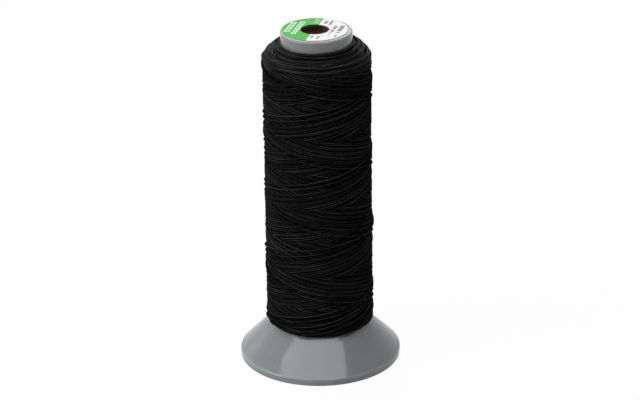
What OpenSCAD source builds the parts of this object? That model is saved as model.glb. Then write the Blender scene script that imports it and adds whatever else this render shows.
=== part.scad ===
// Foot spool of bonded sewing thread.
// A moulded foot and a moulded cap sleeve over the two ends of a board tube. The
// thread is cross-wound on the tube, down to the cone of the foot and up to the
// collar of the cap, and a round paper label covers the end.
// Millimetres, +Z up the axis, origin at the centre of the surface it stands on.

/* [Overall] */
// Height from the base to the face of the label
total_h = 150; // [135:1:180]

/* [Foot] */
// Diameter of the rim
foot_d = 70; // [64:1:80]
// Height of the upright band at the rim
rim_h = 2.8; // [2:0.1:5]
// Slope of the cone, measured from level
cone_slope = 45; // [40:1:50]
// Thickness of the conical shell and of the rim
foot_wall = 1.8; // [1.2:0.1:2.4]
// Rounding of the edge between the band and the cone
rim_edge_r = 0.9; // [0.2:0.1:1]
// Rounding of the edge that stands on the table
base_edge_r = 0.4; // [0.2:0.1:0.8]
// Number of radial ribs under the cone
rib_count = 6; // [4:1:12]
// Thickness of a rib
rib_t = 1.2; // [0.8:0.1:2]
// Height of the ribs and of the spindle guide above the table
under_lift = 1.4; // [0.5:0.1:3]
// Height of the floor of the socket above the table
socket_floor_z = 6; // [4:0.5:9]
// Thickness of the floor of the socket
floor_t = 1.5; // [1:0.1:2.5]
// Height of the socket above the top of the cone
socket_rise = 9; // [5:0.5:15]

/* [Cap] */
// Height of the cap, from its face to the edge of its skirt
cap_h = 14; // [10:0.5:20]
// Rounding of the edge round the face
cap_edge_r = 0.8; // [0.5:0.1:2]
// Thickness of the web under the label
cap_web_t = 0.8; // [0.6:0.1:2]
// Diameter of the hole in that web
cap_hole_d = 14; // [12:0.1:18]

/* [Sleeves and spindle hole] */
// Outer diameter of the cap and of the socket of the foot
sleeve_d = 30.6; // [26:0.1:34]
// Wall of the cap's skirt and of the socket
sleeve_wall = 1.6; // [1:0.1:2]
// Diameter of the spindle hole in the foot
spindle_d = 12; // [8:0.1:16]
// Wall of the spindle guide under the floor of the socket
guide_wall = 1.6; // [1:0.1:2.4]
// Chamfer at the mouths of the two sleeves
lead_in = 0.4; // [0.2:0.1:0.8]

/* [Tube] */
// Wall of the board tube
tube_wall = 5; // [3:0.1:6]
// Radial clearance between the tube and its sleeves
tube_fit = 0.05; // [0.03:0.01:0.15]
// Glue gap between the end of the tube and the web of the cap
tube_end_gap = 0.1; // [0.05:0.05:0.3]

/* [Label] */
// Thickness of the label
label_t = 0.15; // [0.1:0.05:0.3]
// Width of the flat face of the cap that a centred label would leave bare
label_margin = 0.45; // [0.3:0.05:1.5]
// Overhang of a centred label over the hole in the cap
label_overhang = 0.9; // [0.9:0.05:2]
// Distance of the label from the centre of the cap
label_shift = 0.85; // [0:0.05:0.85]
// Direction in which the label is off centre
label_shift_angle = 135; // [0:5:355]
// Direction of the line between the two printed fields
label_split_angle = 73.5; // [0:0.5:180]

/* [Winding] */
// Diameter of the package under its outermost turns
package_d = 45.2; // [42:0.1:48]
// Radius of the rounded lower edge of the package
lower_edge_r = 2.4; // [1.6:0.1:5]
// Turn of the lower edge, from upright to where it meets the cone
lower_edge_turn = 65; // [50:1:80]
// Height of collar left bare above the thread
collar_show = 4.9; // [3:0.1:8]
// Height of the sloping shoulder
shoulder_h = 7; // [4:0.5:12]
// Fullness of the shoulder, 1 is a round and 2 a straight slope
shoulder_form = 1.4; // [1:0.05:1.8]
// Gap between the thread and what it is wound on
lay_gap = 0.1; // [0.05:0.05:0.3]

/* [Outermost turns] */
// Diameter of the thread
thread_d = 0.7; // [0.5:0.05:0.9]
// Passes from end to end, up and down in turn
passes = 5; // [1:1:5]
// Whole turns in a pass, which takes a sixth of a turn more so that its crossings move round
pass_whole_turns = 4; // [3:1:4]
// Bearing of the first turn
first_bearing = 30; // [0:15:345]
// Clear height under a turn where it hops over another
crossing_gap = 0.6; // [0.45:0.05:0.9]
// Distance of the lowest turn from the cone, along the package
lower_margin = 1.8; // [1.6:0.1:4]
// Distance of the highest turn from the collar, along the package
upper_margin = 1.2; // [1:0.1:4]

/* [Hidden] */

plastic = [0.53, 0.55, 0.54];
board = [0.44, 0.32, 0.22];
print_green = [0.44, 0.74, 0.40];
paper = [0.97, 0.97, 0.96];
thread_black = [0.07, 0.07, 0.07];

round_fn = 96;
arc_steps = 6;
// Depth by which a rib runs into the walls that it joins
rib_lap = 0.3;

foot_r = foot_d / 2;
sleeve_r = sleeve_d / 2;
socket_r = sleeve_r - sleeve_wall;
spindle_r = spindle_d / 2;
cap_hole_r = cap_hole_d / 2;
guide_r = spindle_r + guide_wall;
tube_r = socket_r - tube_fit;
tube_inner_r = tube_r - tube_wall;
package_r = package_d / 2;

// Heights up the axis
cone_top_z = cone_z(sleeve_r);
socket_top_z = cone_top_z + socket_rise;
tube_foot_z = socket_floor_z + floor_t;
cap_top_z = total_h - label_t;
cap_web_z = cap_top_z - cap_web_t;
cap_foot_z = cap_top_z - cap_h;
shoulder_top_z = total_h - collar_show;
shoulder_foot_z = shoulder_top_z - shoulder_h;

// Height of the cone's outer face at radius r
function cone_z(r) = rim_h + (foot_r - r) * tan(cone_slope);

// Height of the cone's inner face at radius r
function under_cone_z(r) = cone_z(r) - foot_wall / cos(cone_slope);

// Points of an arc about [x, z], from angle a to angle b
function arc(x, z, r, a, b, steps = arc_steps) =
    [for (i = [0:steps]) let (t = a + (b - a) * i / steps) [x + r * cos(t), z + r * sin(t)]];

// ---- Foot ----

// Height of the centre of the rounding that meets both the band and the cone
rim_edge_z = rim_h + rim_edge_r * tan(cone_slope) - rim_edge_r / cos(cone_slope);

module foot_shell() {
    inner_r = foot_r - foot_wall;
    profile = concat(
        arc(foot_r - base_edge_r, base_edge_r, base_edge_r, -90, 0),
        arc(foot_r - rim_edge_r, rim_edge_z, rim_edge_r, 0, 90 - cone_slope),
        [[sleeve_r, cone_top_z], [sleeve_r, socket_top_z]],
        [[socket_r + lead_in, socket_top_z], [socket_r, socket_top_z - lead_in]],
        [[socket_r, tube_foot_z], [spindle_r, tube_foot_z]],
        [[spindle_r, under_lift], [guide_r, under_lift]],
        [[guide_r, socket_floor_z], [sleeve_r, socket_floor_z]],
        [[sleeve_r, under_cone_z(sleeve_r)], [inner_r, under_cone_z(inner_r)], [inner_r, 0]]
    );
    rotate_extrude($fn = round_fn) polygon(profile);
}

// One rib, from the spindle guide past the socket to the shell
module foot_rib() {
    inner_r = guide_r - rib_lap;
    wall_r = sleeve_r - rib_lap;
    outer_r = foot_r - foot_wall + rib_lap;
    profile = [
        [inner_r, under_lift],
        [outer_r, under_lift],
        [outer_r, max(under_cone_z(outer_r), under_lift) + rib_lap],
        [wall_r, under_cone_z(wall_r) + rib_lap],
        [wall_r, socket_floor_z + rib_lap],
        [inner_r, socket_floor_z + rib_lap]
    ];
    rotate([90, 0, 0]) linear_extrude(rib_t, center = true) polygon(profile);
}

module foot() {
    color(plastic) union() {
        foot_shell();
        for (i = [0:rib_count - 1]) rotate(360 / rib_count * (i + 0.5)) foot_rib();
    }
}

// ---- Tube, cap and label ----

module winding_tube() {
    tube_h = cap_web_z - tube_end_gap - tube_foot_z;
    color(board) translate([0, 0, tube_foot_z]) difference() {
        cylinder(h = tube_h, r = tube_r, $fn = round_fn);
        translate([0, 0, -1]) cylinder(h = tube_h + 2, r = tube_inner_r, $fn = round_fn);
    }
}

module top_cap() {
    profile = concat(
        [[cap_hole_r, cap_web_z], [socket_r, cap_web_z], [socket_r, cap_foot_z + lead_in]],
        [[socket_r + lead_in, cap_foot_z], [sleeve_r, cap_foot_z]],
        arc(sleeve_r - cap_edge_r, cap_top_z - cap_edge_r, cap_edge_r, 0, 90),
        [[cap_hole_r, cap_top_z]]
    );
    color(plastic) rotate_extrude($fn = round_fn) polygon(profile);
}

// The field of the label on one side of its dividing line, 1 for the left and -1 for the right
module label_field(side) {
    label_r = sleeve_r - cap_edge_r - label_margin;
    hole_r = cap_hole_r - label_overhang;
    place = label_shift * [cos(label_shift_angle), sin(label_shift_angle)];
    translate([place[0], place[1], cap_top_z]) intersection() {
        difference() {
            cylinder(h = label_t, r = label_r, $fn = round_fn);
            translate([0, 0, -1]) cylinder(h = label_t + 2, r = hole_r, $fn = round_fn);
        }
        rotate(label_split_angle) translate([-label_r, side > 0 ? 0 : -label_r, -1])
            cube([2 * label_r, label_r, label_t + 2]);
    }
}

module end_label() {
    color(print_green) label_field(1);
    color(paper) label_field(-1);
}

// ---- Thread ----

// Where the lower edge of the package meets the cone, clear of it by lay_gap
lower_end_r = package_r - lower_edge_r * (1 - cos(lower_edge_turn));
lower_end_z = cone_z(lower_end_r) + lay_gap / cos(cone_slope);
lower_edge_z = lower_end_z + lower_edge_r * sin(lower_edge_turn);
package_bore_r = sleeve_r + lay_gap;

// Point of the shoulder at turn t, from 0 at its foot to 90 at the collar
function shoulder_at(t) = [
    package_bore_r + (package_r - package_bore_r) * pow(cos(t), shoulder_form),
    shoulder_foot_z + shoulder_h * pow(sin(t), shoulder_form)
];

// The package's outline from the cone, up its side and over the shoulder
shoulder_steps = 12;
package_outline = concat(
    arc(package_r - lower_edge_r, lower_edge_z, lower_edge_r, -lower_edge_turn, 0, 8),
    [for (i = [0:shoulder_steps]) shoulder_at(90 * i / shoulder_steps)]
);

module thread_package() {
    tube_lay_r = tube_r + lay_gap;
    cone_gap = lay_gap / cos(cone_slope);
    profile = concat(
        package_outline,
        [[package_bore_r, cap_foot_z - lay_gap], [tube_lay_r, cap_foot_z - lay_gap]],
        [[tube_lay_r, socket_top_z + lay_gap], [package_bore_r, socket_top_z + lay_gap]],
        [[package_bore_r, cone_z(package_bore_r) + cone_gap]]
    );
    color(thread_black) rotate_extrude($fn = round_fn) polygon(profile);
}

// The outline measured along its length, from the cone
outline_points = len(package_outline);
outline_legs = [for (i = [1:outline_points - 1]) norm(package_outline[i] - package_outline[i - 1])];
function length_to(i) = i == 0 ? 0 : length_to(i - 1) + outline_legs[i - 1];
outline_r = [for (i = [0:outline_points - 1]) [length_to(i), package_outline[i][0]]];
outline_z = [for (i = [0:outline_points - 1]) [length_to(i), package_outline[i][1]]];
outline_length = length_to(outline_points - 1);

// Radius and height of the outline at distance u along it, and its outward normal there
function outline_at(u) = [lookup(u, outline_r), lookup(u, outline_z)];
function outline_normal(u) =
    let (run = outline_at(u + 0.5) - outline_at(u - 0.5))
    [run[1], -run[0]] / norm(run);

pass_turns = pass_whole_turns + 1 / 6;
rings_per_turn = 24;
strand_sides = 6;
strand_r = thread_d / 2;

// Lift of the strand's centre above the package, with room for the chords between its rings
chord_room = package_r * (1 - cos(180 / rings_per_turn));
rest_lift = strand_r + chord_room + lay_gap;

// Sway of the traverse from one end, -1, to the other, 1, with rounded reversals
reversal = 0.99;
function sway(turn) = asin(reversal * sin(180 * turn / pass_turns - 90)) / asin(reversal);

// Height of a hop, and how far it reaches to each side of the crossing, in turns
hop_h = thread_d + crossing_gap;
hop_reach = 0.125;

// Share of the hop at a turn. Passes mirror each other about a reversal, so that the strand
// crosses itself at every half turn from one, and the later pass hops over the earlier
function hop(turn) = max([
    for (i = [1:passes])
        let (
            since = turn - i * pass_turns,
            off = abs(since - round(2 * since) / 2),
            crosses = since >= 0.25 && turn <= 2 * i * pass_turns && off < hop_reach
        )
        crosses ? pow(cos(90 * off / hop_reach), 2) : 0
]);

// The strand's ends bend over and run straight to the package, square to it
end_bend_r = thread_d;
end_lift = thread_d + end_bend_r;
end_seat = 0.01;
end_settle = 0.1;
last_turn = passes * pass_turns;
function end_rise(turn) = (end_lift - rest_lift) * max(0, 1 - min(turn, last_turn - turn) / end_settle);

// Point of the strand's centre at a turn, shifted along the turn and lifted off the package
function strand_at(turn, along, lift) =
    let (
        middle = (lower_margin + outline_length - upper_margin) / 2,
        swing = (outline_length - upper_margin - lower_margin) / 2,
        u = middle + swing * sway(turn),
        place = outline_at(u) + lift * outline_normal(u),
        bearing = first_bearing + 360 * turn + along / place[0] * 180 / PI
    )
    [place[0] * cos(bearing), place[0] * sin(bearing), place[1]];

// Points of one end, from the package to the top of its bend
function end_points(turn, side) = concat(
    [strand_at(turn, side * end_bend_r, end_seat)],
    [for (a = [90, 60, 30])
        strand_at(turn, side * end_bend_r * sin(a), thread_d + end_bend_r * cos(a))]
);

function reversed(list) = [for (i = [len(list) - 1:-1:0]) list[i]];

strand_path = concat(
    end_points(0, -1),
    [for (i = [0:round(last_turn * rings_per_turn)])
        let (turn = i / rings_per_turn)
        strand_at(turn, 0, rest_lift + hop_h * hop(turn) + end_rise(turn))],
    reversed(end_points(last_turn, 1))
);

// Corners of the strand's section at point i of its path
function strand_ring(i) =
    let (
        last = len(strand_path) - 1,
        run = strand_path[min(i + 1, last)] - strand_path[max(i - 1, 0)],
        ahead = run / norm(run),
        up = [0, 0, 1] - ahead * ahead[2],
        side = up / norm(up),
        out = cross(ahead, side)
    )
    [for (k = [0:strand_sides - 1])
        let (a = 360 * k / strand_sides)
        strand_path[i] + strand_r * (cos(a) * side + sin(a) * out)];

// Least gap of the strand to itself, between points more than half a turn apart
function least_gap(path) = min([
    for (i = [0:len(path) - 1])
        for (j = [i + rings_per_turn / 2:len(path) - 1])
            if (abs(path[i][2] - path[j][2]) < 3 * thread_d) norm(path[i] - path[j])
]) - thread_d;

module outer_winding() {
    rings = len(strand_path);
    corners = [for (i = [0:rings - 1]) each strand_ring(i)];
    walls = [
        for (i = [0:rings - 2])
            for (k = [0:strand_sides - 1])
                let (
                    a = i * strand_sides + k,
                    b = i * strand_sides + (k + 1) % strand_sides
                )
                each [[a, b + strand_sides, b], [a, a + strand_sides, b + strand_sides]]
    ];
    first_cap = [for (k = [1:strand_sides - 2]) [0, k, k + 1]];
    last_ring = (rings - 1) * strand_sides;
    last_cap = [for (k = [1:strand_sides - 2]) [last_ring, last_ring + k + 1, last_ring + k]];
    echo(least_gap_of_the_thread_to_itself = least_gap(strand_path), turns = last_turn);
    color(thread_black) polyhedron(points = corners, faces = concat(walls, first_cap, last_cap));
}

foot();
winding_tube();
top_cap();
end_label();
thread_package();
outer_winding();
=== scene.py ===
"""Dresses the foot spool of cross-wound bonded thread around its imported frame.

Sizes in the classes are millimetres, or metres where they are written with MM; floor, lamps and
camera are placed in metres. The thread is laid turn by turn on a growing package, so that its
strands lie side by side and cross each other as wound thread does. Foot, tube, cap and label
keep their CAD shape and get their finishes here.
"""
import logging
import math
from dataclasses import dataclass, field
from enum import Enum
from typing import Any, Optional, Sequence, Union

import bpy
import numpy as np
from mathutils import Matrix, Vector


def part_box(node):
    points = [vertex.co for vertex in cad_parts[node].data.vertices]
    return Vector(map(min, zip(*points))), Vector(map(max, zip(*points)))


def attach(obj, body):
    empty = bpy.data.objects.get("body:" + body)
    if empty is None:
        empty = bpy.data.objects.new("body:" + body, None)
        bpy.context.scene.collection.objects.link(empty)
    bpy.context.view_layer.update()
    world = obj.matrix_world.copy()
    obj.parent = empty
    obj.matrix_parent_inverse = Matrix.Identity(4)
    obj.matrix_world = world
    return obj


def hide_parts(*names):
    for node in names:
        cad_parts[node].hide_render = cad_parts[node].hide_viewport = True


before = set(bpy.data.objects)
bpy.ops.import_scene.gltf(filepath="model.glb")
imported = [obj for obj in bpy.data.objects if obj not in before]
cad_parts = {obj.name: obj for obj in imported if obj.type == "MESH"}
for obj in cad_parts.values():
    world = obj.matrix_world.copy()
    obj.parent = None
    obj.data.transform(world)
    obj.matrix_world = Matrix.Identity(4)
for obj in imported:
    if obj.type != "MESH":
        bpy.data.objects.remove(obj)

LOG = logging.getLogger("spool")
MM = 0.001
FULL_TURN = 2 * math.pi
FLOAT = "NodeSocketFloat"
VECTOR = "NodeSocketVector"

Colour = tuple[float, float, float]
Pair = tuple[float, float]
Stops = tuple[Pair, ...]
Socket = bpy.types.NodeSocket
Value = Union[Socket, float, Sequence[float]]


class Graph:
    """Places and joins the nodes of one material or one node group."""

    def __init__(self, tree: bpy.types.NodeTree) -> None:
        """Takes over an empty tree."""
        self.tree = tree

    def add(self, kind: str, settings: Optional[dict[str, Any]] = None, **inputs: Value) -> bpy.types.Node:
        """Adds a node, with values or links for its inputs.

        Args:
            kind: Blender's name for the node's type.
            settings: The node's own properties, such as a math node's operation.
            **inputs: A value or an output socket for each input, by the input's name in lower
                case with underscores, or by its number as _0, _1 and so on.

        Returns:
            The new node.
        """
        node = self.tree.nodes.new(kind)
        for key, value in (settings or {}).items():
            setattr(node, key, value)
        for key, value in inputs.items():
            if key[1:].isdigit():
                target = node.inputs[int(key[1:])]
            else:
                wanted = key.replace("_", " ")
                target = next(s for s in node.inputs if s.name.lower() == wanted and s.enabled)
            self.feed(target, value)
        return node

    def feed(self, target: Socket, value: Value) -> None:
        """Links a socket to an input, or sets its value.

        Args:
            target: The input.
            value: The output socket or the value.
        """
        if isinstance(value, Socket):
            self.tree.links.new(value, target)
        else:
            target.default_value = value

    def math(self, operation: str, *values: Value) -> Socket:
        """The result of a math node on one, two or three values."""
        named = {f"_{k}": v for k, v in enumerate(values)}
        return self.add("ShaderNodeMath", {"operation": operation}, **named).outputs[0]

    def between(self, value: Value, low: float, high: float) -> Socket:
        """A mask that is 1 where the value lies between two limits."""
        above = self.math("GREATER_THAN", value, low)
        return self.math("MULTIPLY", above, self.math("LESS_THAN", value, high))

    def reach(self, x: Value, y: Value) -> Socket:
        """The length of a line with the parts x and y."""
        return self.math("SQRT", self.math("MULTIPLY_ADD", x, x, self.math("MULTIPLY", y, y)))

    def ramp(self, value: Value, span: Pair, ends: tuple[Value, Value]) -> Socket:
        """The value carried from a span to a pair of ends, and held at them outside it."""
        named = {"_1": span[0], "_2": span[1], "_3": ends[0], "_4": ends[1]}
        return self.add("ShaderNodeMapRange", value=value, **named).outputs[0]

    def place(self) -> Socket:
        """The place on the object, in metres."""
        return self.add("ShaderNodeTexCoord").outputs["Object"]

    def blend(self, mask: Value, first: Value, second: Value) -> Socket:
        """The colour that goes from the first to the second as the mask goes from 0 to 1.

        Args:
            mask: How much of the second colour shows.
            first: A colour with its alpha, or a socket.
            second: A colour with its alpha, or a socket.

        Returns:
            The blended colour's socket.
        """
        node = self.add("ShaderNodeMix", {"data_type": "RGBA", "clamp_factor": True})
        for target, value in zip((node.inputs[0], node.inputs[6], node.inputs[7]), (mask, first, second)):
            self.feed(target, value)
        return node.outputs[2]

    def group(self, tree: bpy.types.NodeTree, **inputs: Value) -> Socket:
        """Places a node group, with values or links for its inputs.

        Args:
            tree: The group.
            **inputs: A value or an output socket for each input, by its name in lower case.

        Returns:
            The group's first output.
        """
        node = self.tree.nodes.new("ShaderNodeGroup")
        node.node_tree = tree
        for key, value in inputs.items():
            self.feed(next(s for s in node.inputs if s.name.lower() == key), value)
        return node.outputs[0]


def new_group(
    name: str, inputs: dict[str, str], output: str, kind: str
) -> tuple[Graph, dict[str, Socket], Socket]:
    """Starts a shader node group.

    Args:
        name: The group's name.
        inputs: The socket type of each input, by name.
        output: The output's name.
        kind: The output's socket type.

    Returns:
        The group's graph, its input sockets by name, and its output's socket.
    """
    tree = bpy.data.node_groups.new(name, "ShaderNodeTree")
    for title, wanted in inputs.items():
        tree.interface.new_socket(name=title, in_out="INPUT", socket_type=wanted)
    tree.interface.new_socket(name=output, in_out="OUTPUT", socket_type=kind)
    entry = tree.nodes.new("NodeGroupInput")
    leave = tree.nodes.new("NodeGroupOutput")
    return Graph(tree), {s.name: s for s in entry.outputs if s.name}, leave.inputs[0]


def mottle_group(
    fineness: float = 7.0, fine_share: float = 0.35, span: Pair = (0.3, 0.7)
) -> bpy.types.NodeTree:
    """The group that varies a value over a surface, in patches and in fine grain.

    Args:
        fineness: How many times finer the grain is than the patches.
        fine_share: The grain's share of the mixture.
        span: The part of the mixture's range that goes from the low value to the high one.

    Returns:
        A node group with the inputs Place, Patch, Low and High and the output Value.
    """
    kinds = {"Place": VECTOR, "Patch": FLOAT, "Low": FLOAT, "High": FLOAT}
    graph, taken, given = new_group("mottle", kinds, "Value", FLOAT)
    rate = graph.math("DIVIDE", 1.0, taken["Patch"])
    patches = graph.add("ShaderNodeTexNoise", vector=taken["Place"], scale=rate, detail=3.0)
    fine_rate = graph.math("MULTIPLY", rate, fineness)
    grain = graph.add("ShaderNodeTexNoise", vector=taken["Place"], scale=fine_rate, detail=2.0)
    coarse = graph.math("MULTIPLY", patches.outputs[0], 1 - fine_share)
    mixed = graph.math("MULTIPLY_ADD", grain.outputs[0], fine_share, coarse)
    graph.feed(given, graph.ramp(mixed, span, (taken["Low"], taken["High"])))
    return graph.tree


def relief_group() -> bpy.types.NodeTree:
    """The group that gives a surface its fine relief.

    Returns:
        A node group with the inputs Place, Grain and Depth and the output Normal.
    """
    kinds = {"Place": VECTOR, "Grain": FLOAT, "Depth": FLOAT}
    graph, taken, given = new_group("fine_relief", kinds, "Normal", VECTOR)
    rate = graph.math("DIVIDE", 1.0, taken["Grain"])
    noise = graph.add("ShaderNodeTexNoise", vector=taken["Place"], scale=rate, detail=4.0)
    bump = graph.add("ShaderNodeBump", strength=1.0, distance=taken["Depth"], height=noise.outputs[0])
    graph.feed(given, bump.outputs[0])
    return graph.tree


def scuff_group(
    bend: float = 0.4, spacing: float = 0.11, thin: float = 0.012, fade: float = 0.05
) -> bpy.types.NodeTree:
    """The group that scatters short fine scuffs over a surface.

    Args:
        bend: The scale of the noise whose middle level draws the scuffs, for a width of one.
        spacing: The scale of the noise that says where the scuffs lie, for a width of one.
        thin: How far a scuff reaches to each side of its line, in the noise's own values.
        fade: How far its ends fade out, in the noise's own values.

    Returns:
        A node group with the inputs Place, Width and Share and the output Value.
    """
    kinds = {"Place": VECTOR, "Width": FLOAT, "Share": FLOAT}
    graph, taken, given = new_group("scuffs", kinds, "Value", FLOAT)
    rate = graph.math("DIVIDE", 1.0, taken["Width"])
    slow_rate = graph.math("MULTIPLY", rate, spacing)
    line_rate = graph.math("MULTIPLY", rate, bend)
    line = graph.add("ShaderNodeTexNoise", vector=taken["Place"], scale=line_rate, detail=1.0)
    off = graph.math("ABSOLUTE", graph.math("SUBTRACT", line.outputs[0], 0.5))
    mark = graph.ramp(off, (0.0, thin), (1.0, 0.0))
    where = graph.add("ShaderNodeTexNoise", vector=taken["Place"], scale=slow_rate, detail=3.0)
    past = graph.math("SUBTRACT", where.outputs[0], taken["Share"])
    part = graph.ramp(past, (0.0, fade), (0.0, 1.0))
    graph.feed(given, graph.math("MULTIPLY", mark, part))
    return graph.tree


class Workshop:
    """Holds the node groups that the finishes share."""

    def __init__(self) -> None:
        """Builds each group once."""
        self.mottle = mottle_group()
        self.relief = relief_group()
        self.scuffs = scuff_group()

    def start(self, name: str) -> tuple[bpy.types.Material, Graph]:
        """Starts a material with an empty graph.

        Args:
            name: The material's name.

        Returns:
            The material and the graph that fills it.
        """
        made = bpy.data.materials.new(name)
        made.use_nodes = True
        made.node_tree.nodes.clear()
        return made, Graph(made.node_tree)

    def close(self, graph: Graph, shader: bpy.types.Node) -> None:
        """Joins the finished shader to the material's output."""
        graph.add("ShaderNodeOutputMaterial", _0=shader.outputs[0])


@dataclass(frozen=True)
class MouldedPlastic:
    """Glossy moulded plastic, faintly mottled, with hairline marks and a painted edge highlight.

    The outer edge is given by its radius and height. Camber is the slight bulge of a moulded
    slope: from camber_r inward, over camber_run, the slope falls away by camber times the square
    of the distance, in millimetres.
    """

    colour: Colour = (0.200, 0.214, 0.205)
    shade: float = 0.93
    gloss: float = 0.07
    worn_gloss: float = 0.14
    patch: float = 9.0 * MM
    gloss_patch: float = 5.4 * MM
    grain: float = 1.4 * MM
    grain_depth: float = 0.004 * MM
    scuff: float = 0.16
    scuff_w: float = 0.5 * MM
    scuff_share: float = 0.60
    scuff_cover: float = 0.6
    scuff_rough: float = 0.25
    edge: Pair = (15.0 * MM, 149.65 * MM)
    edge_reach: float = 0.8 * MM
    painted_highlight: float = 0.05
    camber: float = 0.0
    camber_r: float = 34.0 * MM
    camber_run: float = 11.0 * MM
    ior: float = 1.5

    def material(self, shop: Workshop, name: str) -> bpy.types.Material:
        """Makes the material.

        Args:
            shop: The shared node groups.
            name: The material's name.

        Returns:
            The new material.
        """
        made, graph = shop.start(name)
        place = graph.place()
        tone = graph.group(shop.mottle, place=place, patch=self.patch, low=0.0, high=1.0)
        dark = tuple(c * self.shade for c in self.colour)
        colour = graph.blend(tone, (*dark, 1), (*self.colour, 1))
        marks = graph.group(shop.scuffs, place=place, width=self.scuff_w, share=self.scuff_share)
        pale = tuple(c + self.scuff for c in self.colour)
        colour = graph.blend(graph.math("MULTIPLY", marks, self.scuff_cover), colour, (*pale, 1))
        x, y, z = graph.add("ShaderNodeSeparateXYZ", vector=place).outputs
        reach = graph.reach(x, y)
        # Painted highlight: the colour turns paler close to the outer edge.
        across = graph.math("SUBTRACT", reach, self.edge[0])
        away = graph.reach(across, graph.math("SUBTRACT", z, self.edge[1]))
        ends = (self.edge_reach / 2, self.edge_reach)
        painted_edge_light = tuple(c + self.painted_highlight for c in self.colour)
        colour = graph.blend(graph.ramp(away, ends, (1.0, 0.0)), colour, (*painted_edge_light, 1))
        polish = graph.group(
            shop.mottle, place=place, patch=self.gloss_patch, low=self.gloss, high=self.worn_gloss
        )
        normal = graph.group(shop.relief, place=place, grain=self.grain, depth=self.grain_depth)
        if self.camber:
            inside = graph.math("SUBTRACT", reach, self.camber_r)
            inside = graph.math("MAXIMUM", inside, -self.camber_run)
            bulge = graph.math("MULTIPLY", graph.math("MULTIPLY", inside, inside), -self.camber / MM)
            bent = graph.add("ShaderNodeBump", strength=1.0, distance=1.0, height=bulge, normal=normal)
            normal = bent.outputs[0]
        shader = graph.add(
            "ShaderNodeBsdfPrincipled",
            base_color=colour,
            roughness=graph.math("MULTIPLY_ADD", marks, self.scuff_rough, polish),
            normal=normal,
            ior=self.ior,
        )
        shop.close(graph, shader)
        return made


@dataclass(frozen=True)
class WoundBoard:
    """Brown board, wound from strips, with a spiral seam and paper fibres.

    The fibres are longer round the tube than along it, by fibre_stretch.
    """

    colour: Colour = (0.38, 0.215, 0.125)
    shade: Colour = (0.25, 0.135, 0.075)
    seam: Colour = (0.10, 0.05, 0.03)
    strip_w: float = 42.0 * MM
    seam_w: float = 0.35 * MM
    fibre: float = 1.2 * MM
    fibre_stretch: float = 3.0
    rough: Pair = (0.75, 0.95)
    grain: float = 0.25 * MM
    grain_depth: float = 0.02 * MM
    specular: float = 0.2

    def material(self, shop: Workshop, name: str) -> bpy.types.Material:
        """Makes the material.

        Args:
            shop: The shared node groups.
            name: The material's name.

        Returns:
            The new material.
        """
        made, graph = shop.start(name)
        place = graph.place()
        x, y, z = graph.add("ShaderNodeSeparateXYZ", vector=place).outputs
        turn = graph.math("DIVIDE", graph.math("ARCTAN2", y, x), FULL_TURN)
        climb = graph.math("SUBTRACT", graph.math("DIVIDE", z, self.strip_w), turn)
        along = graph.math("ABSOLUTE", graph.math("SUBTRACT", graph.math("FRACT", climb), 0.5))
        seam = graph.math("LESS_THAN", along, self.seam_w / self.strip_w)
        tall = graph.math("MULTIPLY", z, self.fibre_stretch)
        stretched = graph.add("ShaderNodeCombineXYZ", x=x, y=y, z=tall).outputs[0]
        fibres = graph.group(shop.mottle, place=stretched, patch=self.fibre, low=0.0, high=1.0)
        board = graph.blend(fibres, (*self.shade, 1), (*self.colour, 1))
        low, high = self.rough
        shader = graph.add(
            "ShaderNodeBsdfPrincipled",
            base_color=graph.blend(seam, board, (*self.seam, 1)),
            roughness=graph.group(shop.mottle, place=place, patch=self.fibre, low=low, high=high),
            normal=graph.group(shop.relief, place=stretched, grain=self.grain, depth=self.grain_depth),
            specular_ior_level=self.specular,
        )
        shop.close(graph, shader)
        return made


@dataclass(frozen=True)
class PrintRow:
    """One row of plain printed marks, in the label's own directions, in millimetres.

    With a stroke the marks are open boxes, and without one they are dashes, some of which the
    seed leaves out.
    """

    across: float
    start: float
    end: float
    height: float
    cell: float
    seed: float = 0.0
    stroke: float = 0.0


class Field(Enum):
    """The two printed fields of the label."""

    COLOURED = "coloured"
    PLAIN = "plain"


LABEL_ROWS = {
    Field.COLOURED: (
        PrintRow(10.85, -6.0, 6.8, 2.4, 3.2, stroke=0.6),
        PrintRow(7.4, -7.8, 8.4, 2.1, 2.7, stroke=0.55),
        PrintRow(2.3, 7.3, 12.6, 0.9, 0.9, 1.0),
        PrintRow(1.1, 7.3, 12.8, 0.7, 0.8, 7.0),
    ),
    Field.PLAIN: (
        PrintRow(-2.25, 7.7, 12.2, 1.4, 0.9, 2.0),
        PrintRow(-4.5, 6.8, 12.6, 1.2, 0.9, 5.0),
        PrintRow(-7.65, -1.0, 6.3, 1.5, 0.85, 8.0),
        PrintRow(-7.5, -6.0, -1.9, 0.8, 0.7, 4.0),
        PrintRow(-10.4, -1.7, 7.2, 1.9, 1.0, 6.0),
        PrintRow(-10.6, -7.0, -4.4, 0.9, 0.7, 12.0),
        PrintRow(-4.7, -7.3, -5.1, 0.8, 0.7, 11.0),
        PrintRow(-1.4, -12.2, -7.5, 1.0, 0.8, 13.0),
        PrintRow(-4.0, -11.0, -7.5, 1.0, 0.8, 3.0),
    ),
}


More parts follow.
